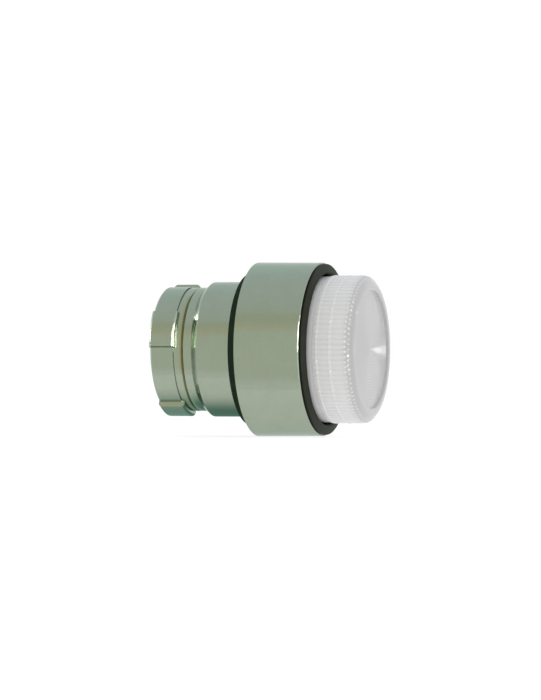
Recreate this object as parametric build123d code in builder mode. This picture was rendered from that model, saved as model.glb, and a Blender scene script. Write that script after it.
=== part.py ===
from build123d import *
import os

# Operating head of an illuminated push button for a 22 mm panel hole, in millimetres.
# The axis runs along Y and the button faces -Y, as it stands in an upright panel. The origin is
# on the axis, in the plane of the panel's front face. Every value whose name ends in _at is a
# distance in front of that plane, so places behind the panel are negative.

# Clearances that the mates share
running_clearance = 0.05
fit_clearance = 0.05
moving_gap = 0.3
stop_gap = 0.1
edge_break = 0.3

# Barrel, neck and rear flange
barrel_radius = 11.0
barrel_length = 5.85
barrel_chamfer_length = 1.1
neck_step = 0.9
neck_length = 3.05
neck_groove_width = 0.4
neck_groove_depth = 0.3
root_groove_width = 0.25
root_groove_depth = 0.15
rear_flange_step = 0.1
rear_flange_length = 3.9

# Bayonet lugs, by the angle of their middle, seen from the front and counted from +X to +Z
lug_inset = 0.05
lug_width = 6.0
lug_front_reach = 0.5
lug_angles = (161.2, 254.0, 60.2, -28.0)
lug_bevel = 0.35
lug_nose_radius = 0.65

# Front flange, bezel and guard ring
gasket_width = 1.25
gasket_thickness = 1.6
gasket_land_depth = 0.25
front_flange_reach = 2.2
front_flange_thickness = 1.5
bezel_wall = 0.85
bezel_draft = 0.1
bezel_length = 10.8
bezel_edge_radius = 0.2
bezel_edge_thickness = 1.1
guard_ring_inset = 0.2
guard_ring_sleeve = 0.65
guard_ring_rise = 0.85
guard_ring_side = 0.5
guard_ring_top_width = 0.4
guard_ring_bevel = 0.2

# Bores inside the body
body_wall = 1.5
chamber_wall = 1.2
chamber_floor_depth = 5.0

# Plunger, bush and seal
plunger_wall = 1.5
plunger_rear_inset = 0.25
travel = 4.5
bush_wall = 1.3
bush_flange_thickness = 0.7
bush_rear_inset = 2.65
seal_depth = 1.7
seal_thickness = 1.5
seal_wall = 1.0
seal_lip_width = 0.35
seal_lip_depth = 0.7
spring_seat_thickness = 0.4
spring_seat_gap = 0.4

# Retaining ring and contact pusher
retaining_ring_thickness = 0.6
retaining_ring_reach = 1.0
retaining_ring_opening = 50.0
snap_groove_depth = 0.6
pusher_rear_inset = 0.15
wing_step = 0.7
wing_width = 4.0
wing_length = 1.5
wing_side_gap = 0.2
wing_end_gap = 0.25

# Return spring, wound from flat wire
spring_wire_width = 0.9
spring_wire_height = 0.7
spring_turns = 4.5
spring_wall_gap = 0.75

# Lens holder, diffuser and lens
holder_flange_inset = 0.05
holder_flange_thickness = 1.2
spigot_wall = 1.35
spigot_length = 6.4
collar_width = 1.4
collar_thickness = 1.2
lens_gasket_thickness = 0.7
lens_gasket_width = 1.0
diffuser_thickness = 0.9
diffuser_boss_length = 0.8
lens_wall = 1.25
lens_length = 10.85
lens_edge_radius = 1.65
lens_step_depth = 0.6
lens_face_thickness = 1.7
lens_rim_width = 0.55
lens_recess_depth = 0.45
lens_recess_slope = 0.15
rib_count = 90
rib_radius = 0.2
rib_rear_gap = 0.7
rib_front_gap = 1.55
face_groove_count = 6
face_groove_width = 0.3
face_groove_depth = 0.12

# Places along the axis
panel_at = 0.0
barrel_rear_at = panel_at - barrel_length
neck_front_at = barrel_rear_at - barrel_chamfer_length
neck_rear_at = neck_front_at - neck_length
rear_at = neck_rear_at - rear_flange_length
lug_front_at = neck_rear_at + lug_front_reach
neck_groove_at = (neck_front_at + neck_rear_at) / 2
flange_rear_at = panel_at + gasket_thickness
flange_front_at = flange_rear_at + front_flange_thickness
bezel_front_at = flange_rear_at + bezel_length
guard_front_at = bezel_front_at + guard_ring_rise
bush_seat_at = panel_at - chamber_floor_depth
bush_front_at = bush_seat_at + bush_flange_thickness
bush_rear_at = rear_at + bush_rear_inset
seal_seat_at = bush_front_at - seal_depth
spring_rear_at = bush_front_at + spring_seat_thickness
holder_rear_at = flange_front_at + travel + moving_gap
holder_front_at = holder_rear_at + holder_flange_thickness
spigot_front_at = holder_front_at + spigot_length
collar_front_at = holder_front_at + collar_thickness
plunger_rear_at = rear_at + plunger_rear_inset
lens_rear_at = holder_front_at + lens_gasket_thickness
lens_front_at = lens_rear_at + lens_length
lens_face_at = lens_front_at - lens_recess_depth
lens_roof_at = lens_face_at - lens_face_thickness
lens_step_at = spigot_front_at + diffuser_thickness + stop_gap
rib_rear_at = guard_front_at + rib_rear_gap
rib_front_at = lens_front_at - rib_front_gap
retaining_ring_front_at = bush_rear_at - stop_gap
retaining_ring_rear_at = retaining_ring_front_at - retaining_ring_thickness
pusher_front_at = retaining_ring_rear_at - stop_gap
pusher_rear_at = rear_at + pusher_rear_inset
wing_front_at = pusher_rear_at + wing_length
wing_slot_front_at = wing_front_at + wing_end_gap

# Radii outwards from the barrel, which fills the panel's hole
neck_radius = barrel_radius - neck_step
rear_flange_radius = neck_radius + rear_flange_step
lug_radius = barrel_radius - lug_inset
gasket_bore_radius = barrel_radius + fit_clearance
gasket_radius = gasket_bore_radius + gasket_width
front_flange_radius = barrel_radius + front_flange_reach
flange_pocket_radius = front_flange_radius + fit_clearance
bezel_front_radius = front_flange_radius + bezel_wall
bezel_rear_radius = bezel_front_radius + bezel_draft
bezel_bore_radius = bezel_front_radius - bezel_edge_thickness
guard_ring_radius = bezel_front_radius - guard_ring_inset
guard_sleeve_radius = bezel_bore_radius - fit_clearance
guard_ring_bore_radius = guard_sleeve_radius - guard_ring_sleeve

# Radii inwards from the barrel to the lamp
bore_radius = neck_radius - body_wall
chamber_radius = barrel_radius - chamber_wall
bush_radius = bore_radius - fit_clearance
bush_bore_radius = bush_radius - bush_wall
bush_flange_radius = chamber_radius - 2 * fit_clearance
plunger_radius = bush_bore_radius - running_clearance
lamp_bore_radius = plunger_radius - plunger_wall
seal_radius = bush_bore_radius + seal_wall
seal_pocket_radius = seal_radius + fit_clearance
spring_seat_bore_radius = plunger_radius + spring_seat_gap
spring_radius = chamber_radius - spring_wall_gap - spring_wire_width / 2
snap_groove_radius = plunger_radius - snap_groove_depth
retaining_ring_radius = plunger_radius + retaining_ring_reach
pusher_radius = bore_radius - moving_gap
wing_reach = bore_radius + wing_step
wing_slot_reach = wing_reach + wing_end_gap

# Radii of the button, inwards from the guard ring
lens_radius = guard_ring_bore_radius - moving_gap - rib_radius
lens_bore_radius = lens_radius - lens_wall
holder_flange_radius = lens_radius - holder_flange_inset
spigot_radius = lens_bore_radius - fit_clearance
spigot_bore_radius = spigot_radius - spigot_wall
collar_radius = plunger_radius + collar_width
lens_rim_radius = lens_radius - lens_edge_radius
lens_recess_radius = lens_rim_radius - lens_rim_width
lens_face_radius = lens_recess_radius - lens_recess_slope
face_groove_pitch = lens_face_radius / (face_groove_count + 1)

# Drawing plane for turned pieces: radius to the right, distance in front of the panel upwards
section = Plane(origin=(0, 0, 0), x_dir=(1, 0, 0), z_dir=(0, 0, -1))

os.makedirs("parts", exist_ok=True)

# Body: one casting, turned outside, from the bayonet lugs to the flange inside the bezel
with BuildPart() as body:
    with BuildSketch(section):
        with BuildLine():
            Polyline(
                (bore_radius + edge_break, rear_at),
                (rear_flange_radius - edge_break, rear_at),
                (rear_flange_radius, rear_at + edge_break),
                (rear_flange_radius, neck_rear_at),
                (neck_radius - root_groove_depth, neck_rear_at),
                (neck_radius - root_groove_depth, neck_rear_at + root_groove_width),
                (neck_radius, neck_rear_at + root_groove_width),
                (neck_radius, neck_groove_at - neck_groove_width / 2),
                (neck_radius - neck_groove_depth, neck_groove_at),
                (neck_radius, neck_groove_at + neck_groove_width / 2),
                (neck_radius, neck_front_at),
                (barrel_radius, barrel_rear_at),
                (barrel_radius, panel_at),
                (barrel_radius - gasket_land_depth, panel_at),
                (barrel_radius - gasket_land_depth, flange_rear_at),
                (front_flange_radius, flange_rear_at),
                (front_flange_radius, flange_front_at),
                (chamber_radius, flange_front_at),
                (chamber_radius, bush_seat_at),
                (bore_radius, bush_seat_at),
                (bore_radius, rear_at + edge_break),
                close=True,
            )
        make_face()
    revolve(axis=Axis.Y)
    with BuildSketch(Plane.XZ.offset(rear_at)):
        for angle in lug_angles:
            with PolarLocations(0, 1, start_angle=angle):
                Rectangle(lug_radius, lug_width, align=(Align.MIN, Align.CENTER))
        Circle(lug_radius, mode=Mode.INTERSECT)
        Circle(bore_radius + edge_break, mode=Mode.SUBTRACT)
    extrude(amount=lug_front_at - rear_at)
    with BuildSketch(section):
        with BuildLine():
            Polyline(
                (lug_radius - lug_bevel, rear_at),
                (lug_radius + lug_bevel, rear_at),
                (lug_radius + lug_bevel, rear_at + 2 * lug_bevel),
                close=True,
            )
        make_face()
        with BuildLine():
            nose = RadiusArc(
                (lug_radius, lug_front_at - lug_nose_radius),
                (lug_radius - lug_nose_radius, lug_front_at),
                -lug_nose_radius,
            )
            Polyline(nose @ 1, (lug_radius + lug_bevel, lug_front_at), nose @ 0)
        make_face()
    revolve(axis=Axis.Y, mode=Mode.SUBTRACT)
    with BuildSketch(Plane.XZ.offset(rear_at)):
        Rectangle(2 * wing_slot_reach, wing_width + 2 * wing_side_gap)
    extrude(amount=wing_slot_front_at - rear_at, mode=Mode.SUBTRACT)
body.part.label = "body"
export_step(body.part, "parts/body.step")

# Panel gasket: flat rubber ring between the front flange and the panel
with BuildPart() as panel_gasket:
    with BuildSketch(Plane.XZ.offset(panel_at)):
        Circle(gasket_radius)
        Circle(gasket_bore_radius, mode=Mode.SUBTRACT)
    extrude(amount=gasket_thickness)
panel_gasket.part.label = "panel_gasket"
export_step(panel_gasket.part, "parts/panel_gasket.step")

# Bezel: chromed sleeve with a little draft, seated on the front flange by its inner shoulder
with BuildPart() as bezel:
    with BuildSketch(section):
        with BuildLine():
            rim = RadiusArc(
                (bezel_front_radius, bezel_front_at - bezel_edge_radius),
                (bezel_front_radius - bezel_edge_radius, bezel_front_at),
                -bezel_edge_radius,
            )
            Polyline(
                rim @ 1,
                (bezel_bore_radius, bezel_front_at),
                (bezel_bore_radius, flange_front_at),
                (flange_pocket_radius, flange_front_at),
                (flange_pocket_radius, flange_rear_at),
                (bezel_rear_radius, flange_rear_at),
                rim @ 0,
            )
        make_face()
    revolve(axis=Axis.Y)
bezel.part.label = "bezel"
export_step(bezel.part, "parts/bezel.step")

# Guard ring: sleeve inside the bezel, with a head that covers the bezel's front edge
with BuildPart() as guard_ring:
    with BuildSketch(section):
        with BuildLine():
            Polyline(
                (guard_ring_bore_radius, flange_front_at),
                (guard_sleeve_radius, flange_front_at),
                (guard_sleeve_radius, bezel_front_at),
                (guard_ring_radius, bezel_front_at),
                (guard_ring_radius, bezel_front_at + guard_ring_side),
                (guard_ring_bore_radius + guard_ring_top_width, guard_front_at),
                (guard_ring_bore_radius + guard_ring_bevel, guard_front_at),
                (guard_ring_bore_radius, guard_front_at - guard_ring_bevel),
                close=True,
            )
        make_face()
    revolve(axis=Axis.Y)
guard_ring.part.label = "guard_ring"
export_step(guard_ring.part, "parts/guard_ring.step")

# Guide bush: flanged bush on the floor of the spring chamber, with a pocket for the seal
with BuildPart() as guide_bush:
    with BuildSketch(section):
        with BuildLine():
            Polyline(
                (bush_bore_radius, bush_rear_at),
                (bush_radius, bush_rear_at),
                (bush_radius, bush_seat_at),
                (bush_flange_radius, bush_seat_at),
                (bush_flange_radius, bush_front_at),
                (seal_pocket_radius, bush_front_at),
                (seal_pocket_radius, seal_seat_at),
                (bush_bore_radius, seal_seat_at),
                close=True,
            )
        make_face()
    revolve(axis=Axis.Y)
guide_bush.part.label = "guide_bush"
export_step(guide_bush.part, "parts/guide_bush.step")

# Shaft seal: rubber ring in the bush's pocket, with a lip cut free of its outer wall
with BuildPart() as shaft_seal:
    with BuildSketch(section):
        with BuildLine():
            Polyline(
                (bush_bore_radius, seal_seat_at),
                (seal_radius, seal_seat_at),
                (seal_radius, seal_seat_at + seal_thickness),
                (bush_bore_radius + 2 * seal_lip_width, seal_seat_at + seal_thickness),
                (bush_bore_radius + seal_lip_width, seal_seat_at + seal_thickness - seal_lip_depth),
                (bush_bore_radius, seal_seat_at + seal_thickness),
                close=True,
            )
        make_face()
    revolve(axis=Axis.Y)
shaft_seal.part.label = "shaft_seal"
export_step(shaft_seal.part, "parts/shaft_seal.step")

# Spring seat: steel washer that holds the seal in and carries the spring
with BuildPart() as spring_seat:
    with BuildSketch(Plane.XZ.offset(bush_front_at)):
        Circle(bush_flange_radius)
        Circle(spring_seat_bore_radius, mode=Mode.SUBTRACT)
    extrude(amount=spring_seat_thickness)
spring_seat.part.label = "spring_seat"
export_step(spring_seat.part, "parts/spring_seat.step")

# Return spring: flat wire wound between the washer and the lens holder
spring_start_at = spring_rear_at + spring_wire_height / 2 + stop_gap
spring_height = holder_rear_at - spring_rear_at - spring_wire_height - 2 * stop_gap
with BuildPart() as return_spring:
    with BuildLine() as spring_path:
        Helix(
            pitch=spring_height / spring_turns,
            height=spring_height,
            radius=spring_radius,
            center=(0, -spring_start_at, 0),
            direction=(0, -1, 0),
        )
    with BuildSketch(Plane(spring_path.line @ 0, x_dir=(0, 1, 0), z_dir=spring_path.line % 0)):
        Rectangle(spring_wire_height, spring_wire_width)
    sweep(path=spring_path.line, is_frenet=True)
return_spring.part.label = "return_spring"
export_step(return_spring.part, "parts/return_spring.step")

# Plunger: tube that takes the lamp, with a collar in front and a snap groove behind
with BuildPart() as plunger:
    with BuildSketch(section):
        with BuildLine():
            Polyline(
                (lamp_bore_radius, plunger_rear_at),
                (plunger_radius, plunger_rear_at),
                (plunger_radius, retaining_ring_rear_at - fit_clearance),
                (snap_groove_radius, retaining_ring_rear_at - fit_clearance),
                (snap_groove_radius, retaining_ring_front_at + fit_clearance),
                (plunger_radius, retaining_ring_front_at + fit_clearance),
                (plunger_radius, holder_front_at),
                (collar_radius, holder_front_at),
                (collar_radius, collar_front_at),
                (lamp_bore_radius, collar_front_at),
                close=True,
            )
        make_face()
    revolve(axis=Axis.Y)
plunger.part.label = "plunger"
export_step(plunger.part, "parts/plunger.step")

# Retaining ring: open snap ring in the plunger's groove, which stops against the bush
with BuildPart() as retaining_ring:
    with BuildSketch(Plane.XZ.offset(retaining_ring_rear_at)):
        with BuildLine():
            ring_start = 90 + retaining_ring_opening / 2
            ring_sweep = 360 - retaining_ring_opening
            ring_outer = CenterArc((0, 0), retaining_ring_radius, ring_start, ring_sweep)
            ring_inner = CenterArc((0, 0), snap_groove_radius + fit_clearance, ring_start, ring_sweep)
            Line(ring_outer @ 0, ring_inner @ 0)
            Line(ring_outer @ 1, ring_inner @ 1)
        make_face()
    extrude(amount=retaining_ring_thickness)
retaining_ring.part.label = "retaining_ring"
export_step(retaining_ring.part, "parts/retaining_ring.step")

# Contact pusher: ring on the end of the plunger, guided by two wings in the body's slots
with BuildPart() as contact_pusher:
    with BuildSketch(Plane.XZ.offset(pusher_rear_at)):
        Rectangle(2 * wing_reach, wing_width)
    extrude(amount=wing_length)
    with BuildSketch(Plane.XZ.offset(pusher_rear_at)):
        Circle(pusher_radius)
    extrude(amount=pusher_front_at - pusher_rear_at)
    with BuildSketch(Plane.XZ.offset(pusher_rear_at)):
        Circle(plunger_radius + fit_clearance)
    extrude(amount=pusher_front_at - pusher_rear_at, mode=Mode.SUBTRACT)
contact_pusher.part.label = "contact_pusher"
export_step(contact_pusher.part, "parts/contact_pusher.step")

# Lens holder: web and flange on the plunger's collar, with the spigot that the lens screws on to
with BuildPart() as lens_holder:
    with BuildSketch(section):
        with BuildLine():
            Polyline(
                (plunger_radius + fit_clearance, holder_rear_at),
                (holder_flange_radius, holder_rear_at),
                (holder_flange_radius, holder_front_at),
                (spigot_radius, holder_front_at),
                (spigot_radius, spigot_front_at),
                (spigot_bore_radius, spigot_front_at),
                (spigot_bore_radius, holder_front_at),
                (plunger_radius + fit_clearance, holder_front_at),
                close=True,
            )
        make_face()
    revolve(axis=Axis.Y)
lens_holder.part.label = "lens_holder"
export_step(lens_holder.part, "parts/lens_holder.step")

# Lens gasket: sealing ring between the holder's flange and the lens
with BuildPart() as lens_gasket:
    with BuildSketch(Plane.XZ.offset(holder_front_at)):
        Circle(lens_bore_radius + lens_gasket_width)
        Circle(lens_bore_radius, mode=Mode.SUBTRACT)
    extrude(amount=lens_gasket_thickness)
lens_gasket.part.label = "lens_gasket"
export_step(lens_gasket.part, "parts/lens_gasket.step")

# Diffuser: disc that stands in the spigot's mouth and spreads the lamp's light
with BuildPart() as diffuser:
    with BuildSketch(Plane.XZ.offset(spigot_front_at)):
        Circle(spigot_radius)
    extrude(amount=diffuser_thickness)
    with BuildSketch(Plane.XZ.offset(spigot_front_at)):
        Circle(spigot_bore_radius - fit_clearance)
    extrude(amount=-diffuser_boss_length)
diffuser.part.label = "diffuser"
export_step(diffuser.part, "parts/diffuser.step")

# Lens: moulded cap with a rounded rim, a sunk face with fine rings, and grip ribs round its side
with BuildPart() as lens:
    with BuildSketch(section):
        with BuildLine():
            edge = RadiusArc(
                (lens_radius, lens_front_at - lens_edge_radius),
                (lens_rim_radius, lens_front_at),
                -lens_edge_radius,
            )
            Polyline(
                edge @ 1,
                (lens_recess_radius, lens_front_at),
                (lens_face_radius, lens_face_at),
                (0, lens_face_at),
                (0, lens_roof_at),
                (lens_bore_radius - lens_step_depth, lens_roof_at),
                (lens_bore_radius - lens_step_depth, lens_step_at),
                (lens_bore_radius, lens_step_at),
                (lens_bore_radius, lens_rear_at),
                (lens_radius, lens_rear_at),
                edge @ 0,
            )
        make_face()
    revolve(axis=Axis.Y)
    with BuildSketch(Plane.XZ.offset(rib_rear_at)):
        with PolarLocations(lens_radius, rib_count):
            Circle(rib_radius)
    extrude(amount=rib_front_at - rib_rear_at)
    with BuildSketch(section):
        for ring in range(face_groove_count):
            groove_radius = face_groove_pitch * (ring + 1)
            with BuildLine():
                Polyline(
                    (groove_radius - face_groove_width / 2, lens_face_at),
                    (groove_radius, lens_face_at - face_groove_depth),
                    (groove_radius + face_groove_width / 2, lens_face_at),
                    close=True,
                )
            make_face()
    revolve(axis=Axis.Y, mode=Mode.SUBTRACT)
lens.part.label = "lens"
export_step(lens.part, "parts/lens.step")
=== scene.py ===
"""Dresses the head of an illuminated push button, and sets its studio and its camera.

The button faces -Y, its axis is the Y axis and +Z is up. Sizes in the classes are in millimetres,
and a place along the axis is a distance in front of the panel's face, as in the part's source.
"""

from __future__ import annotations

import logging
import math
from dataclasses import dataclass
from enum import Enum
from typing import Any, Callable, Sequence

import bmesh
import bpy
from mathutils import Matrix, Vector

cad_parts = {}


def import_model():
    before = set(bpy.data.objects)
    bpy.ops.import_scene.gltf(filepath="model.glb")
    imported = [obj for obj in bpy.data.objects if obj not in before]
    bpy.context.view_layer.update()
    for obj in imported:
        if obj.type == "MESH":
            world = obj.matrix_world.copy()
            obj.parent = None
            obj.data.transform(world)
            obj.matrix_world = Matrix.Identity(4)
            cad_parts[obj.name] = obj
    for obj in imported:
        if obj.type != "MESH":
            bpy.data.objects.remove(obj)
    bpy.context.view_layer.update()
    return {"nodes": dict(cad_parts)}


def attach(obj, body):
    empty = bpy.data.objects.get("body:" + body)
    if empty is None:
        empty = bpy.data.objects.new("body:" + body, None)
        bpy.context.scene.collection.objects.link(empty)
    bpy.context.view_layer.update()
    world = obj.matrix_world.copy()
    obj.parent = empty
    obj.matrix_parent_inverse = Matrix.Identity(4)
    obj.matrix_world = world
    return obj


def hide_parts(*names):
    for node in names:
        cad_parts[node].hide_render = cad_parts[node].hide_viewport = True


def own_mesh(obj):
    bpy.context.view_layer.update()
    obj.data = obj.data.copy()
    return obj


Colour = tuple[float, float, float]
Point = tuple[float, float]
Settings = dict[str, Any]
Inputs = dict[Any, Any]

MM = 0.001
AXIS = Vector((0.0, -1.0, 0.0))
ORIGIN = (0.0, 0.0, 0.0)
WHITE: Colour = (1.0, 1.0, 1.0)
RIB_COUNT = 90
BAND_PLACES = (14.6, 16.8)
log = logging.getLogger("push_button")


class Slot(Enum):
    """Names of two material slots in the record."""

    LENS = "lens_white"
    STEEL = "steel"


class Value:
    """A socket or a number that takes part in Python expressions."""

    def __init__(self, graph: Graph, source: Any) -> None:
        """Wraps a source.

        Args:
            graph: the graph that new Math nodes go into.
            source: an output socket, or a number.
        """
        self.graph = graph
        self.source = source

    def _math(self, operation: str, *others: Any, swap: bool = False) -> Value:
        """Adds a Math node.

        Args:
            operation: the node's operation.
            others: the operands after this one.
            swap: whether this value comes second.

        Returns:
            The node's result.
        """
        operands = [self, *others]
        if swap:
            operands.reverse()
        return self.graph.value("ShaderNodeMath", {"operation": operation}, dict(enumerate(operands)))

    def __add__(self, other: Any) -> Value:
        """Returns self + other."""
        return self._math("ADD", other)

    def __sub__(self, other: Any) -> Value:
        """Returns self - other."""
        return self._math("SUBTRACT", other)

    def __mul__(self, other: Any) -> Value:
        """Returns self * other."""
        return self._math("MULTIPLY", other)

    def __truediv__(self, other: Any) -> Value:
        """Returns self / other."""
        return self._math("DIVIDE", other)

    def __rsub__(self, other: Any) -> Value:
        """Returns other - self."""
        return self._math("SUBTRACT", other, swap=True)

    def __pow__(self, other: Any) -> Value:
        """Returns self to the power of other."""
        return self._math("POWER", other)

    __radd__ = __add__
    __rmul__ = __mul__

    def turned(self, other: Value) -> Value:
        """Returns the angle of the point whose height is self and whose reach is other."""
        return self._math("ARCTAN2", other)

    def distance(self, other: Value) -> Value:
        """Returns the distance from the axis of the point whose sides are self and other."""
        return (self * self + other * other) ** 0.5

    def sine(self) -> Value:
        """Returns the sine."""
        return self._math("SINE")

    def size(self) -> Value:
        """Returns the absolute value."""
        return self._math("ABSOLUTE")

    def largest(self, other: Any) -> Value:
        """Returns the larger of self and other."""
        return self._math("MAXIMUM", other)

    def swing(self, share: float) -> Value:
        """Returns a noise, which lies about 0.5, as a swing about 0 of a share of its size."""
        return (self - 0.5) * share

    def step(self, low: float, high: float) -> Value:
        """Ramps smoothly from 0 to 1.

        Args:
            low: where the result is 0.
            high: where the result is 1.

        Returns:
            The ramp.
        """
        settings = {"interpolation_type": "SMOOTHSTEP"}
        inputs = {"Value": self, "From Min": low, "From Max": high}
        return self.graph.value("ShaderNodeMapRange", settings, inputs)

    def near(self, place: Any, reach: float, core: float) -> Value:
        """Marks a ring round the axis, where self is the Y coordinate.

        Args:
            place: how far in front of the panel the ring's middle is.
            reach: half the ring's width.
            core: the share of the reach where the mark is full.

        Returns:
            The mark, which is 1 at the ring's middle and 0 outside it.
        """
        return 1.0 - (self + place).size().step(reach * core, reach)


class Graph:
    """The node tree of one material or world."""

    def __init__(self, tree: bpy.types.NodeTree) -> None:
        """Empties the tree.

        Args:
            tree: the node tree to fill.
        """
        self.tree = tree
        tree.nodes.clear()

    def node(self, kind: str, settings: Settings | None = None, inputs: Inputs | None = None) -> Any:
        """Adds a node.

        Args:
            kind: the node's type.
            settings: its properties, and "stops" for a colour ramp.
            inputs: the value or link of each socket, by name or number.

        Returns:
            The node.
        """
        made = self.tree.nodes.new(kind)
        for name, setting in (settings or {}).items():
            if name == "stops":
                self._set_stops(made.color_ramp, setting)
            else:
                setattr(made, name, setting)
        for key, given in (inputs or {}).items():
            source = given.source if isinstance(given, Value) else given
            socket = made.inputs[key]
            if isinstance(source, bpy.types.NodeSocket):
                self.tree.links.new(source, socket)
            elif socket.type == "RGBA":
                socket.default_value = (*source, 1.0)
            else:
                socket.default_value = source
        return made

    @staticmethod
    def _set_stops(ramp: bpy.types.ColorRamp, stops: Sequence[tuple[float, Colour]]) -> None:
        """Sets a ramp's stops.

        Args:
            ramp: the ramp.
            stops: the place and colour of each stop, in order.
        """
        while len(ramp.elements) < len(stops):
            ramp.elements.new(1.0)
        for element, (place, colour) in zip(ramp.elements, stops):
            element.position = place
            element.color = (*colour, 1.0)

    def value(
        self, kind: str, settings: Settings | None = None, inputs: Inputs | None = None, output: Any = 0
    ) -> Value:
        """Adds a node and wraps one of its outputs.

        Args:
            kind: the node's type.
            settings: its properties.
            inputs: its sockets' values or links.
            output: the output, by name or number.

        Returns:
            The wrapped output.
        """
        return Value(self, self.node(kind, settings, inputs).outputs[output])

    def place(self) -> tuple[Value, Value, Value]:
        """Reads a point's place in the object's own space.

        Returns:
            Its X, Y and Z, in millimetres.
        """
        coordinate = self.value("ShaderNodeTexCoord", output="Object")
        inputs = {0: coordinate, "Scale": 1.0 / MM}
        scaled = self.value("ShaderNodeVectorMath", {"operation": "SCALE"}, inputs)
        axes = self.node("ShaderNodeSeparateXYZ", None, {0: scaled})
        x, y, z = (Value(self, socket) for socket in axes.outputs)
        return x, y, z

    def noise(self, scale: float, detail: float = 2.0) -> Value:
        """Adds a noise over the object's own space.

        Args:
            scale: the number of blobs in a millimetre.
            detail: the number of finer layers.

        Returns:
            The noise, about 0.5.
        """
        coordinate = self.value("ShaderNodeTexCoord", output="Object")
        inputs = {"Vector": coordinate, "Scale": scale / MM, "Detail": detail}
        return self.value("ShaderNodeTexNoise", None, inputs)

    def lines(self, along: Value, pitch: float, detail: float = 3.0) -> Value:
        """Adds a noise that changes in one direction only.

        Args:
            along: the distance in that direction, in millimetres.
            pitch: the spacing of the lines, in millimetres.
            detail: the number of finer layers.

        Returns:
            The noise, about 0.5.
        """
        inputs = {"W": along, "Scale": 1.0 / pitch, "Detail": detail}
        return self.value("ShaderNodeTexNoise", {"noise_dimensions": "1D"}, inputs)

    def mix(self, share: Value, first: Any, second: Any) -> Value:
        """Mixes two colours.

        Args:
            share: the share of the second colour.
            first: a colour or a link.
            second: a colour or a link.

        Returns:
            The mixed colour.
        """
        share_socket, first_socket, second_socket, colour_output = 0, 6, 7, 2
        inputs = {share_socket: share, first_socket: first, second_socket: second}
        settings = {"data_type": "RGBA", "clamp_factor": True}
        return self.value("ShaderNodeMix", settings, inputs, colour_output)

    def bump(self, height: Value, depth: float) -> Value:
        """Adds a bump.

        Args:
            height: the height, from 0 to 1.
            depth: the depth of a full step, in millimetres.

        Returns:
            The bumped normal.
        """
        return self.value("ShaderNodeBump", None, {"Height": height, "Distance": depth * MM})

    def surface(self, **inputs: Any) -> None:
        """Ends a material in a Principled shader.

        Args:
            inputs: the shader's sockets, with _ for a space.
        """
        named = {name.replace("_", " "): given for name, given in inputs.items()}
        self.end("ShaderNodeOutputMaterial", self.value("ShaderNodeBsdfPrincipled", None, named))

    def glow(self, tone: Any, strength: Any = 1.0) -> Value:
        """Adds a plain glow, which no lamp changes.

        Args:
            tone: its colour.
            strength: its strength.

        Returns:
            The shader.
        """
        return self.value("ShaderNodeEmission", None, {"Color": tone, "Strength": strength})

    def end(self, kind: str, shader: Value) -> None:
        """Ends the tree.

        Args:
            kind: the type of the output node.
            shader: the shader that goes into it.
        """
        self.node(kind, None, {"Surface": shader})


def material(name: str) -> tuple[bpy.types.Material, Graph]:
    """Makes an empty material.

    Args:
        name: its name.

    Returns:
        The material and its graph.
    """
    made = bpy.data.materials.new(name)
    made.use_nodes = True
    return made, Graph(made.node_tree)


@dataclass(frozen=True)
class ChromeFinish:
    """Bright plating over turned metal, a little green and worn to a satin, with a painted reflection ring
    where one is placed.
    """

    name: str
    colour: Colour = (0.355, 0.408, 0.325)
    dull_colour: Colour = (0.325, 0.372, 0.288)
    edge_tint: Colour = (0.72, 0.78, 0.77)
    roughness: float = 0.1
    cloud_roughness: float = 0.08
    line_roughness: float = 0.04
    line_pitch: float = 0.09
    line_slant: float = 0.83
    line_depth: float = 0.0018
    cloud_depth_share: float = 0.6
    cloud_scale: float = 0.35
    speck_scale: float = 4.5
    speck_range: Point = (0.69, 0.76)
    grain_scale: float = 7.0
    cloud_share: float = 1.3
    line_share: float = 0.9
    grain_share: float = 2.6
    speck_share: float = 0.8
    worn_share: float = 0.4
    # Painted reflection: a patchy yellow-brown ring round the axis at the given place.
    painted_reflection_at: float | None = None
    painted_reflection_reach: float = 0.42
    painted_reflection_core: float = 0.3
    painted_reflection_scale: float = 0.4
    painted_reflection_range: Point = (0.4, 0.6)
    painted_reflection_colour: Colour = (0.36, 0.34, 0.19)

    def make(self) -> bpy.types.Material:
        """Makes the material.

        Returns:
            The finished material.
        """
        made, graph = material(self.name)
        x, y, z = graph.place()
        turned = graph.lines(y + x.distance(z) * self.line_slant, self.line_pitch)
        cloud = graph.noise(self.cloud_scale, detail=3.0)
        speck = graph.noise(self.speck_scale, detail=1.0).step(*self.speck_range)
        grain = graph.noise(self.grain_scale, detail=1.0)
        swings = cloud.swing(self.cloud_share) + turned.swing(self.line_share) + grain.swing(self.grain_share)
        worn = swings + self.worn_share + speck * self.speck_share
        tone = graph.mix(worn, self.colour, self.dull_colour)
        # Painted reflection, yellow-brown and patchy, round the neck groove.
        if self.painted_reflection_at is not None:
            near = y.near(self.painted_reflection_at, self.painted_reflection_reach, self.painted_reflection_core)
            reflection_patches = graph.noise(self.painted_reflection_scale).step(*self.painted_reflection_range)
            tone = graph.mix(near * reflection_patches, tone, self.painted_reflection_colour)
        graph.surface(
            Base_Color=tone,
            Metallic=1.0,
            Specular_Tint=self.edge_tint,
            Roughness=self.roughness + self.cloud_roughness * cloud + self.line_roughness * turned,
            Normal=graph.bump(turned + cloud * self.cloud_depth_share, self.line_depth),
        )
        return made


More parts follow.
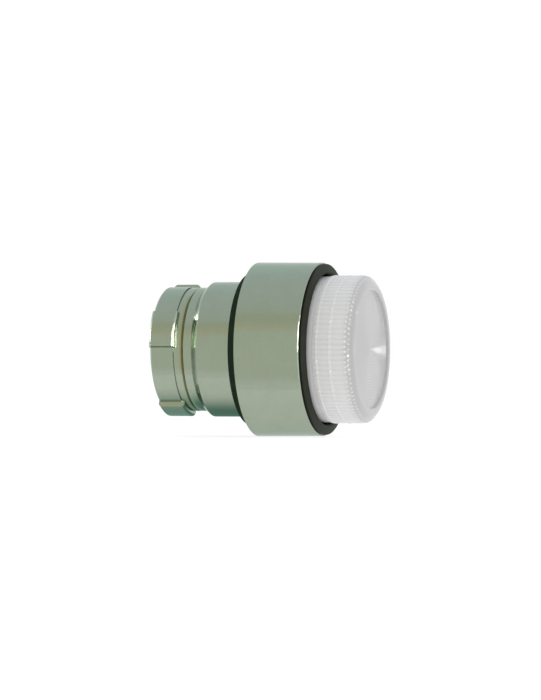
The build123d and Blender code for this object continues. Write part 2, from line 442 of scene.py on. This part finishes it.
@dataclass(frozen=True)
class RubberFinish:
    """Black rubber with a fine grain and a greenish cast."""

    name: str
    colour: Colour = (0.003, 0.016, 0.006)
    dusty_colour: Colour = (0.008, 0.024, 0.01)
    dust_scale: float = 0.5
    dust_range: Point = (0.4, 0.75)
    roughness: float = 0.7
    grain_roughness: float = 0.25
    grain_scale: float = 9.0
    grain_depth: float = 0.012
    gloss: float = 0.12

    def make(self) -> bpy.types.Material:
        """Makes the material.

        Returns:
            The finished material.
        """
        made, graph = material(self.name)
        grain = graph.noise(self.grain_scale, detail=3.0)
        dust = graph.noise(self.dust_scale).step(*self.dust_range)
        graph.surface(
            Base_Color=graph.mix(dust, self.colour, self.dusty_colour),
            Roughness=self.roughness + grain.swing(self.grain_roughness),
            Specular_IOR_Level=self.gloss,
            Normal=graph.bump(grain, self.grain_depth),
        )
        return made


@dataclass(frozen=True)
class PlasticFinish:
    """Moulded plastic with a fine matt texture, and a dark band painted as shade behind a place, if one is
    given.
    """

    name: str
    colour: Colour
    pale_colour: Colour
    roughness: float = 0.42
    texture_scale: float = 6.0
    texture_depth: float = 0.006
    texture_share: float = 0.3
    texture_roughness: float = 0.2
    cloud_scale: float = 0.4
    cloud_range: Point = (0.3, 0.75)
    cloud_share: float = 0.7
    cloud_roughness: float = 0.1
    gloss: float = 0.5
    # Painted shade: the part behind this place turns near black.
    painted_shade_at: float | None = None
    painted_shade_width: float = 0.15
    painted_shade_colour: Colour = (0.002, 0.002, 0.002)

    def make(self) -> bpy.types.Material:
        """Makes the material.

        Returns:
            The finished material.
        """
        made, graph = material(self.name)
        texture = graph.noise(self.texture_scale)
        cloud = graph.noise(self.cloud_scale)
        pale = cloud.step(*self.cloud_range) * self.cloud_share + texture * self.texture_share
        tone = graph.mix(pale, self.colour, self.pale_colour)
        if self.painted_shade_at is not None:
            # Painted shade on the ring's flank beside the bezel's rim.
            _, y, _ = graph.place()
            painted_shade = 1.0 - (0.0 - y).step(self.painted_shade_at, self.painted_shade_at + self.painted_shade_width)
            tone = graph.mix(painted_shade, tone, self.painted_shade_colour)
        grained = self.roughness + texture.swing(self.texture_roughness)
        graph.surface(
            Base_Color=tone,
            Roughness=grained + cloud.swing(self.cloud_roughness),
            Specular_IOR_Level=self.gloss,
            Normal=graph.bump(texture, self.texture_depth),
        )
        return made


@dataclass(frozen=True)
class SteelFinish:
    """Drawn or stamped steel with an oily film."""

    name: str
    colour: Colour = (0.42, 0.42, 0.41)
    oiled_colour: Colour = (0.30, 0.29, 0.27)
    oil_scale: float = 0.8
    oil_range: Point = (0.35, 0.7)
    roughness: float = 0.3
    line_roughness: float = 0.15
    line_pitch: float = 0.06
    line_slants: Point = (0.4, 0.3)
    line_depth: float = 0.002

    def make(self) -> bpy.types.Material:
        """Makes the material.

        Returns:
            The finished material.
        """
        made, graph = material(self.name)
        x, y, z = graph.place()
        drawn = graph.lines(y + x * self.line_slants[0] + z * self.line_slants[1], self.line_pitch)
        oil = graph.noise(self.oil_scale, detail=3.0).step(*self.oil_range)
        graph.surface(
            Base_Color=graph.mix(oil, self.colour, self.oiled_colour),
            Metallic=1.0,
            Roughness=self.roughness + self.line_roughness * drawn,
            Normal=graph.bump(drawn, self.line_depth),
        )
        return made


@dataclass(frozen=True)
class LensFinish:
    """White translucent moulding, with painted highlights on its raised bands, painted glints where its ribs
    end, painted shade low between its ribs, and a face painted darker as shade.
    """

    name: str
    colour: Colour = (0.765, 0.755, 0.785)
    # Painted highlight colour of the bands and of the glints where the ribs end.
    pale_colour: Colour = (0.95, 0.945, 0.95)
    # Painted shade: the outer side is darker where it lies low, between the ribs.
    painted_valley_shade_colour: Colour = (0.665, 0.655, 0.685)
    # Painted shade: the face is a darker copy of the side's white, for the extra light it takes.
    face_shade_colour: Colour = (0.535, 0.53, 0.54)
    face_shade_range: Point = (18.7, 20.2)
    outside_radii: Point = (10.9, 11.3)
    valley_shade_radii: Point = (11.82, 11.88)
    valley_shade_share: float = 0.3
    bands: tuple[float, ...] = BAND_PLACES
    highlight_band_reach: float = 0.32
    highlight_band_share: float = 0.12
    # Painted glints: pale dots in two rows where the ribs end.
    glint_rows: tuple[float, ...] = (19.42, 19.95)
    glint_reach: float = 0.2
    glint_range: Point = (0.35, 0.95)
    glint_share: float = 0.6
    core: float = 0.4
    rib_count: int = RIB_COUNT
    rib_ripple: float = 0.12
    cloud_scale: float = 0.3
    cloud_share: float = 0.5
    cloud_roughness: float = 0.1
    roughness: float = 0.12
    gloss: float = 0.28
    scatter: float = 0.18
    scatter_depth: float = 0.6
    scatter_radii: tuple[float, float, float] = (1.0, 1.0, 1.0)

    def make(self) -> bpy.types.Material:
        """Makes the material.

        Returns:
            The finished material.
        """
        made, graph = material(self.name)
        x, y, z = graph.place()
        radius = x.distance(z)
        outside = radius.step(*self.outside_radii)
        crest = z.turned(x) * float(self.rib_count)
        # Painted shade on the outer side where it lies low, between the ribs.
        painted_valley_shade = (1.0 - radius.step(*self.valley_shade_radii)) * outside * self.valley_shade_share
        cloud = graph.noise(self.cloud_scale)
        side = graph.mix(painted_valley_shade + cloud.swing(self.cloud_share), self.colour, self.painted_valley_shade_colour)
        # Painted shade: towards the front the white turns into its darker copy on the face.
        tone = graph.mix((0.0 - y).step(*self.face_shade_range), side, self.face_shade_colour)
        graph.surface(
            Base_Color=graph.mix(self.painted_highlights(y, crest, outside), tone, self.pale_colour),
            Roughness=self.roughness + cloud.swing(self.cloud_roughness),
            Subsurface_Weight=self.scatter,
            Subsurface_Scale=self.scatter_depth * MM,
            Subsurface_Radius=self.scatter_radii,
            Specular_IOR_Level=self.gloss,
        )
        return made

    def painted_highlights(self, y: Value, crest: Value, outside: Value) -> Value:
        """Paints highlights on the bands, and glints in two rows where the ribs end.

        Args:
            y: the Y coordinate.
            crest: the angle round the axis, which grows by a full turn from rib to rib.
            outside: the mark of the outer side.

        Returns:
            The share of the pale colour.
        """
        ripple = crest.sine() * self.rib_ripple
        # Painted highlights on the two raised bands, wavy with the ribs.
        bands = [y.near(ripple + band, self.highlight_band_reach, self.core) for band in self.bands]
        # Painted glints: pale dots in two rows where the ribs end, one row on the crests and one between
        # them.
        painted_glints = [
            (crest + math.pi * (row + 0.5)).sine().step(*self.glint_range)
            * y.near(place, self.glint_reach, self.core)
            for row, place in enumerate(self.glint_rows, 1)
        ]
        pale = bands[0].largest(bands[1]) * outside * self.highlight_band_share
        return pale.largest(painted_glints[0].largest(painted_glints[1]) * self.glint_share)


class Turned:
    """A piece that starts as an outline turned round the axis."""

    def __init__(self, name: str) -> None:
        """Starts an empty mesh.

        Args:
            name: the piece's name.
        """
        self.name = name
        self.mesh = bmesh.new()

    def spin(self, outline: Sequence[Point], steps: int, weld: float = 1e-7) -> list[bmesh.types.BMVert]:
        """Turns an outline through a full circle.

        Args:
            outline: points of radius and distance in front of the panel, from the axis to the axis.
            steps: the number of steps in the circle.
            weld: the distance within which points become one, in metres.

        Returns:
            The vertices of the turned form.
        """
        points = [self.mesh.verts.new((radius * MM, -along * MM, 0.0)) for radius, along in outline]
        edges = [self.mesh.edges.new(pair) for pair in zip(points, points[1:])]
        turn = {"cent": ORIGIN, "axis": -AXIS, "angle": math.tau, "steps": steps}
        bmesh.ops.spin(self.mesh, geom=points + edges, use_merge=True, **turn)
        bmesh.ops.remove_doubles(self.mesh, verts=self.mesh.verts, dist=weld)
        return list(self.mesh.verts)

    def finish(self, crease: float) -> bpy.types.Object:
        """Makes the object, with its faces outwards and its edges sharp where they turn.

        Args:
            crease: the angle past which an edge is sharp, in degrees.

        Returns:
            The object.
        """
        bmesh.ops.recalc_face_normals(self.mesh, faces=self.mesh.faces)
        data = bpy.data.meshes.new(self.name)
        self.mesh.to_mesh(data)
        self.mesh.free()
        data.shade_smooth()
        data.set_sharp_from_angle(angle=math.radians(crease))
        made = bpy.data.objects.new(self.name, data)
        bpy.context.scene.collection.objects.link(made)
        return made


@dataclass
class Lens:
    """The lens cap: a ribbed side with a rounded rim, and a sunk face with fine rings."""

    radius: float = 11.83
    bore_radius: float = 10.5
    step_radius: float = 9.9
    rear_at: float = 9.8
    step_at: float = 16.5
    roof_at: float = 18.5
    face_at: float = 20.2
    front_at: float = 20.65
    edge_radius: float = 1.65
    edge_steps: int = 10
    rim_width: float = 0.55
    recess_slope: float = 0.15
    rim_break: float = 0.08
    rib_count: int = RIB_COUNT
    rib_height: float = 0.13
    rib_nose: float = 0.25
    nose_shares: tuple[float, ...] = (0.15, 0.4, 0.7, 1.0)
    rib_rear_at: float = 13.95
    rib_fade: Point = (19.75, 20.1)
    band_places: tuple[float, ...] = BAND_PLACES
    band_height: float = 0.065
    band_half_width: float = 0.26
    band_shares: tuple[float, ...] = (-1.0, -0.6, -0.25, 0.25, 0.6, 1.0)
    ring_pitch: float = 0.4546
    ring_depth: float = 0.03
    ring_lead: float = 0.25
    ring_count: int = 20
    steps_per_rib: int = 8
    tolerance: float = 0.001
    crease: float = 12.0

    @property
    def edge_centre(self) -> Point:
        """Returns the centre of the rounded rim, as a radius and a place along the axis."""
        return self.radius - self.edge_radius, self.front_at - self.edge_radius

    def side(self) -> list[Point]:
        """Draws the outer side.

        Returns:
            Its outline, from the rear to the rim.
        """
        places = [self.rear_at, self.rib_rear_at]
        places += [self.rib_rear_at + self.rib_nose * share for share in self.nose_shares]
        for band in self.band_places:
            places += [band + self.band_half_width * share for share in self.band_shares]
        across, along = self.edge_centre
        reach = self.edge_radius
        turns = [math.radians(90.0 * step / self.edge_steps) for step in range(self.edge_steps + 1)]
        arc = [(across + reach * math.cos(turn), along + reach * math.sin(turn)) for turn in turns]
        return [(self.radius, place) for place in places] + arc

    def face(self) -> list[Point]:
        """Draws the ringed face.

        Returns:
            Its outline, from its middle to its edge.
        """
        outline: list[Point] = [(0.0, self.face_at)]
        for ring in range(1, self.ring_count + 1):
            middle = ring * self.ring_pitch
            outline.append((middle, self.face_at - self.ring_depth))
            outline.append((middle + self.ring_pitch * self.ring_lead, self.face_at))
        return outline

    def outline(self) -> list[Point]:
        """Draws the whole cap.

        Returns:
            Its outline, from the middle of its face round the outside to the roof.
        """
        recess_radius = self.edge_centre[0] - self.rim_width
        rim = [
            (recess_radius - self.recess_slope, self.face_at),
            (recess_radius - self.rim_break / 3, self.front_at - self.rim_break),
            (recess_radius + self.rim_break, self.front_at),
        ]
        inside = [
            (self.bore_radius, self.rear_at),
            (self.bore_radius, self.step_at),
            (self.step_radius, self.step_at),
            (self.step_radius, self.roof_at),
            (0.0, self.roof_at),
        ]
        return self.face() + rim + self.side()[::-1] + inside

    def rib(self, angle: float) -> float:
        """Returns the height of a rib's round section at an angle round the axis."""
        phase = (angle * self.rib_count / math.tau) % 1.0 - 0.5
        return self.rib_height * math.cos(math.pi * phase)

    def rise(self, along: float) -> float:
        """Works out how much of a rib stands at a place along the axis.

        Args:
            along: the place.

        Returns:
            The share of the rib's height.
        """
        if along < self.rib_rear_at:
            return 0.0
        nose = min(1.0, (along - self.rib_rear_at) / self.rib_nose)
        start, end = self.rib_fade
        fade = min(1.0, max(0.0, (end - along) / (end - start)))
        return math.sqrt(1.0 - (1.0 - nose) ** 2) * math.sqrt(fade)

    def band(self, along: float) -> float:
        """Returns the height of the low bands round the side at a place along the axis."""
        shares = [max(0.0, 1.0 - ((along - place) / self.band_half_width) ** 2) for place in self.band_places]
        return self.band_height * max(shares)

    def raise_ribs(self, verts: list[bmesh.types.BMVert]) -> None:
        """Moves the side's vertices out to the ribs and bands.

        Args:
            verts: the vertices of the turned cap.
        """
        edge_across, edge_along = self.edge_centre
        for vert in verts:
            along, radius = -vert.co.y / MM, math.hypot(vert.co.x, vert.co.z) / MM
            inner = radius < self.radius - self.tolerance and along < edge_along + self.tolerance
            if inner or radius < edge_across + self.tolerance:
                continue
            slope = math.atan2(max(0.0, along - edge_along), radius - edge_across)
            height = self.rib(math.atan2(vert.co.z, vert.co.x)) * self.rise(along) + self.band(along)
            outwards = Vector((vert.co.x, 0.0, vert.co.z)).normalized()
            vert.co += (outwards * math.cos(slope) + AXIS * math.sin(slope)) * (height * MM)

    def build(self, finish: LensFinish) -> bpy.types.Object:
        """Builds the cap and puts it in the place of the plain one.

        Args:
            finish: its finish.

        Returns:
            The cap.
        """
        form = Turned("lens_cap")
        self.raise_ribs(form.spin(self.outline(), self.rib_count * self.steps_per_rib))
        made = form.finish(self.crease)
        made.data.materials.append(finish.make())
        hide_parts("lens")
        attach(made, "button")
        return made


@dataclass
class ReturnSpring:
    """The coil between the washer and the lens holder."""

    radius: float = 8.6
    wire_width: float = 0.9
    wire_height: float = 0.7
    turns: float = 4.5
    rear_at: float = -3.9
    front_at: float = 7.9
    end_gap: float = 0.1
    travel: float = 4.5
    steps_per_turn: int = 48
    crease: float = 50.0

    def corner(self, middle: float, across: int, along: int) -> tuple[float, float, float]:
        """Places a corner of the wire's section.

        Args:
            middle: the place of the section's middle along the axis.
            across: -1 for an inner corner, 1 for an outer one.
            along: -1 for a rear corner, 1 for a front one.

        Returns:
            The corner, in metres.
        """
        radius = self.radius + across * self.wire_width / 2
        place = middle + along * self.wire_height / 2
        return radius * MM, -place * MM, 0.0

    def build(self, finish: SteelFinish) -> bpy.types.Object:
        """Winds the coil.

        Args:
            finish: its finish.

        Returns:
            The coil.
        """
        form = Turned("return_coil")
        start = self.rear_at + self.end_gap + self.wire_height / 2
        length = self.front_at - self.rear_at
        height = length - 2 * self.end_gap - self.wire_height
        steps = round(self.turns * self.steps_per_turn)
        corners = ((-1, -1), (1, -1), (1, 1), (-1, 1))
        section = [form.mesh.verts.new(self.corner(start, *sides)) for sides in corners]
        face = form.mesh.faces.new(section)
        geometry = [*section, *face.edges, face]
        rise = AXIS * (height / steps * MM)
        turn = {"cent": ORIGIN, "axis": AXIS, "angle": self.turns * math.tau, "steps": steps}
        bmesh.ops.spin(form.mesh, geom=geometry, dvec=rise, **turn)
        made = form.finish(self.crease)
        made.data.materials.append(finish.make())
        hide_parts("return_spring")
        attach(made, "head")
        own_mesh(made)
        return made


@dataclass
class Fittings:
    """The pieces whose shape is the source's own, and the finish that each one gets."""

    nodes: dict[str, bpy.types.Object]
    # Place of the painted yellow-brown reflection round the neck groove.
    neck_painted_reflection_at: float = -8.7
    # Place behind which the guard ring is painted dark, as shade beside the bezel's rim.
    ring_painted_shade_at: float = 12.62

    def finishes(self) -> dict[Callable[[], bpy.types.Material], tuple[str, ...]]:
        """Chooses the finishes.

        Returns:
            Each finish, by the method that makes it, and the pieces that have it.
        """
        ring_tones = (0.022, 0.027, 0.017), (0.032, 0.037, 0.026)
        painted_shade_at = self.ring_painted_shade_at
        ring = PlasticFinish("ring_black", *ring_tones, roughness=0.6, gloss=0.08, painted_shade_at=painted_shade_at)
        inner = PlasticFinish("inner_black", (0.018, 0.018, 0.017), (0.03, 0.03, 0.028))
        white = PlasticFinish("holder_white", (0.62, 0.62, 0.60), (0.70, 0.70, 0.69), roughness=0.5)
        grey = PlasticFinish("plunger_grey", (0.22, 0.225, 0.22), (0.28, 0.285, 0.28))
        return {
            ChromeFinish("bezel_chrome").make: ("bezel",),
            ChromeFinish("body_chrome", painted_reflection_at=self.neck_painted_reflection_at).make: ("body",),
            RubberFinish("seal_rubber").make: ("panel_gasket", "shaft_seal", "lens_gasket"),
            ring.make: ("guard_ring",),
            inner.make: ("guide_bush", "contact_pusher"),
            white.make: ("lens_holder", "diffuser"),
            grey.make: ("plunger",),
            SteelFinish("stamped_steel").make: ("spring_seat", "retaining_ring"),
        }

    def dress(self) -> None:
        """Gives every piece its finish."""
        for make, names in self.finishes().items():
            finished = make()
            for name in names:
                self.nodes[name].material_slots[0].material = finished
                log.info("dressed %s in %s", name, finished.name)


@dataclass(frozen=True)
class Lamp:
    """A lamp, placed by its direction from the object, with its sizes and distance in metres.

    It shows in glossy surfaces and lights nothing else, or if it is soft, it does the opposite.
    """

    name: str
    azimuth: float
    elevation: float
    power: float
    width: float
    height: float
    distance: float = 0.6
    soft: bool = False

    def place(self) -> Vector:
        """Works out where the lamp hangs.

        Returns:
            Its place in metres, with the azimuth counted from +X to +Y.
        """
        turn, lift = math.radians(self.azimuth), math.radians(self.elevation)
        reach = self.distance * math.cos(lift)
        return Vector((reach * math.cos(turn), reach * math.sin(turn), self.distance * math.sin(lift)))

    def build(self) -> None:
        """Hangs the lamp and turns it to the object."""
        data = bpy.data.lights.new(self.name, "AREA")
        data.shape = "RECTANGLE"
        data.size, data.size_y = self.width, self.height
        data.energy = self.power
        lamp = bpy.data.objects.new(self.name, data)
        lamp.location = self.place()
        lamp.rotation_euler = (-lamp.location).to_track_quat("-Z", "Y").to_euler()
        lamp.visible_glossy = not self.soft
        lamp.visible_diffuse = self.soft
        bpy.context.scene.collection.objects.link(lamp)


@dataclass(frozen=True)
class Card:
    """A level card that the metal mirrors, with one tone at its near side and one at its far side."""

    name: str
    height: float
    low: Point
    high: Point
    edge: Point
    near_tone: Colour
    far_tone: Colour

    def shape(self) -> bmesh.types.BMesh:
        """Cuts the card to its size.

        Returns:
            Its mesh.
        """
        mesh = bmesh.new()
        bmesh.ops.create_grid(mesh, size=0.5)
        width, length = self.high[0] - self.low[0], self.high[1] - self.low[1]
        bmesh.ops.scale(mesh, verts=mesh.verts, vec=(width * MM, length * MM, 1.0))
        across, along = (self.low[0] + self.high[0]) / 2, (self.low[1] + self.high[1]) / 2
        bmesh.ops.translate(mesh, verts=mesh.verts, vec=Vector((across, along, self.height)) * MM)
        return mesh

    def finish(self) -> bpy.types.Material:
        """Makes the card's material, whose tone changes over its edge.

        Returns:
            The material.
        """
        made, graph = material(self.name)
        x, _, _ = graph.place()
        tone = graph.mix(x.step(*self.edge), self.near_tone, self.far_tone)
        graph.end("ShaderNodeOutputMaterial", graph.glow(tone))
        return made


@dataclass
class Studio:
    """The floor, the surroundings, the lamps and the camera.

    The backdrop and the floor are white. The wall and the cards are hidden from the camera and
    give the metal most of the tones that it mirrors.
    """

    floor_at: float = -14.2
    floor_radius: float = 3000.0
    floor_corners: int = 96
    camera_distance: float = 700.0
    camera_turn: float = 17.5
    camera_lift: float = 0.0
    aim: tuple[float, float, float] = (0.0, -3.35, -0.1)
    lens_length: float = 221.3
    clip: Point = (0.01, 20.0)
    level: float = 1.0
    floor_glow: float = 0.84
    floor_colour: Colour = (0.24, 0.24, 0.24)
    room_radius: float = 2000.0
    room_reach: Point = (-1500.0, 2500.0)
    room_steps: int = 60

    def surroundings(self) -> None:
        """Sets a plain white backdrop, which the camera and the metal see alike."""
        world = bpy.data.worlds.new("backdrop")
        bpy.context.scene.world = world
        world.use_nodes = True
        graph = Graph(world.node_tree)
        back = graph.value("ShaderNodeBackground", None, {"Color": WHITE, "Strength": self.level})
        graph.end("ShaderNodeOutputWorld", back)

    @staticmethod
    def stage(name: str, mesh: bmesh.types.BMesh, finish: bpy.types.Material) -> bpy.types.Object:
        """Stands a piece of the studio, which is no part of the object.

        Args:
            name: its name.
            mesh: its shape.
            finish: its material.

        Returns:
            The piece.
        """
        data = bpy.data.meshes.new(name)
        mesh.to_mesh(data)
        mesh.free()
        data.materials.append(finish)
        piece = bpy.data.objects.new(name, data)
        bpy.context.scene.collection.objects.link(piece)
        log.info("staged %s", name)
        return piece

    @staticmethod
    def bands() -> list[tuple[float, Colour]]:
        """Lists the tones of the room's wall, which go round the axis.

        Returns:
            Each tone's angle, in degrees up from the camera's side, and its colour.
        """
        return [
            (-62, WHITE),
            (-50, (0.98, 0.98, 0.96)),
            (-37, (0.83, 0.85, 0.785)),
            (22, (0.82, 0.835, 0.775)),
            (27, (0.82, 0.775, 0.645)),
            (34, (0.765, 0.74, 0.61)),
            (43, (0.70, 0.705, 0.60)),
            (50, (0.755, 0.78, 0.755)),
            (66, (0.766, 0.80, 0.806)),
            (90, (0.766, 0.815, 0.85)),
            (113, (0.79, 0.847, 0.90)),
            (144, (0.88, 0.96, 1.0)),
            (158, WHITE),
        ]

    def room(self) -> None:
        """Stands a curved wall on the camera's side and overhead, and hides it from the camera."""
        bands = self.bands()
        low, high = math.radians(bands[0][0]), math.radians(bands[-1][0])
        mesh = bmesh.new()
        corner = (-math.cos(low) * self.room_radius, math.sin(low) * self.room_radius)
        ends = [mesh.verts.new((corner[0] * MM, along * MM, corner[1] * MM)) for along in self.room_reach]
        edge = mesh.edges.new(ends)
        turn = {"cent": ORIGIN, "axis": -AXIS, "angle": high - low, "steps": self.room_steps}
        bmesh.ops.spin(mesh, geom=[*ends, edge], **turn)
        made, graph = material("room_wall")
        x, _, z = graph.place()
        stops = [(degrees / 360.0 + 0.5, tone) for degrees, tone in bands]
        share = z.turned(0.0 - x) / math.tau + 0.5
        tone = graph.value("ShaderNodeValToRGB", {"stops": stops}, {0: share})
        graph.end("ShaderNodeOutputMaterial", graph.glow(tone))
        self.stage("room_wall", mesh, made).visible_camera = False

    def floor(self) -> None:
        """Lays a pale floor that the camera and the metal see white, with the object's shadow."""
        mesh = bmesh.new()
        corners = {"segments": self.floor_corners, "radius": self.floor_radius * MM}
        bmesh.ops.create_circle(mesh, cap_ends=True, **corners)
        bmesh.ops.translate(mesh, verts=mesh.verts, vec=(0.0, 0.0, self.floor_at * MM))
        made, graph = material("floor_white")
        path = graph.node("ShaderNodeLightPath")
        kinds = ("Camera", "Glossy", "Transmission")
        camera, glossy, through = (Value(graph, path.outputs[f"Is {kind} Ray"]) for kind in kinds)
        seen = camera.largest(glossy).largest(through)
        matt = graph.value("ShaderNodeBsdfDiffuse", None, {"Color": self.floor_colour})
        inputs = {0: matt, 1: graph.glow(WHITE, seen * self.floor_glow)}
        graph.end("ShaderNodeOutputMaterial", graph.value("ShaderNodeAddShader", None, inputs))
        floor = self.stage("floor", mesh, made)
        floor.visible_diffuse = floor.visible_shadow = False

    def cards(self) -> None:
        """Lays a grey card in front of the object, and dark ones under its barrel and its rear flange."""
        pale, grey = (0.95, 0.95, 0.95), (0.83, 0.84, 0.78)
        near_edge, under_edge = (-27.0, -19.0), (-9.0, -2.0)
        for card in (
            Card("front_card", -14.0, (-2000.0, -1500.0), (-18.0, 2500.0), near_edge, grey, pale),
            Card("barrel_card", -13.0, (-9.0, 0.5), (8.0, 9.5), under_edge, pale, (0.2, 0.34, 0.3)),
            Card("flange_card", -13.0, (-9.0, 9.5), (8.0, 16.0), under_edge, pale, (0.38, 0.55, 0.5)),
        ):
            laid = self.stage(card.name, card.shape(), card.finish())
            laid.visible_camera = laid.visible_diffuse = laid.visible_shadow = False

    def lamps(self) -> None:
        """Hangs strips and spots for the glints, and a soft lamp overhead."""
        for lamp in (
            Lamp("near_strip", 194.0, 0.0, 3.0, 0.06, 0.8),
            Lamp("side_strip", 222.0, 0.0, 3.6, 0.03, 0.8),
            Lamp("corner_strip", 242.0, 0.0, 3.6, 0.03, 0.8),
            Lamp("front_lamp", 312.0, 0.3, 0.07, 0.025, 0.025),
            Lamp("front_high_lamp", 318.0, 9.0, 0.035, 0.02, 0.02),
            Lamp("front_low_lamp", 319.0, -10.0, 0.035, 0.02, 0.02),
            Lamp("rear_lamp", 79.0, 15.5, 2.0, 0.14, 0.2),
            Lamp("top_lamp", 150.0, 75.0, 0.2, 0.5, 0.5, soft=True),
        ):
            lamp.build()
            log.info("hung %s", lamp.name)

    def camera(self) -> None:
        """Sets the camera to the photograph's view."""
        turn, lift = math.radians(self.camera_turn), math.radians(self.camera_lift)
        back = Vector((-math.cos(turn) * math.cos(lift), -math.sin(turn) * math.cos(lift), math.sin(lift)))
        data = bpy.data.cameras.new("camera")
        data.lens = self.lens_length
        data.clip_start, data.clip_end = self.clip
        camera = bpy.data.objects.new("camera", data)
        camera.location = Vector(self.aim) * MM + back * (self.camera_distance * MM)
        camera.rotation_euler = (-back).to_track_quat("-Z", "Y").to_euler()
        bpy.context.scene.collection.objects.link(camera)
        bpy.context.scene.camera = camera

    def build(self) -> None:
        """Sets up the studio."""
        self.surroundings()
        self.room()
        self.floor()
        self.cards()
        self.lamps()
        self.camera()
        bpy.context.scene.view_settings.view_transform = "Standard"


def main() -> None:
    """Dresses the object and sets its studio."""
    logging.basicConfig(level=logging.INFO, format="%(message)s")
    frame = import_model()
    Fittings(frame["nodes"]).dress()
    log.info("built %s", Lens().build(LensFinish("lens_white")).name)
    log.info("built %s", ReturnSpring().build(SteelFinish("spring_steel")).name)
    Studio().build()


if __name__ == "__main__":
    main()
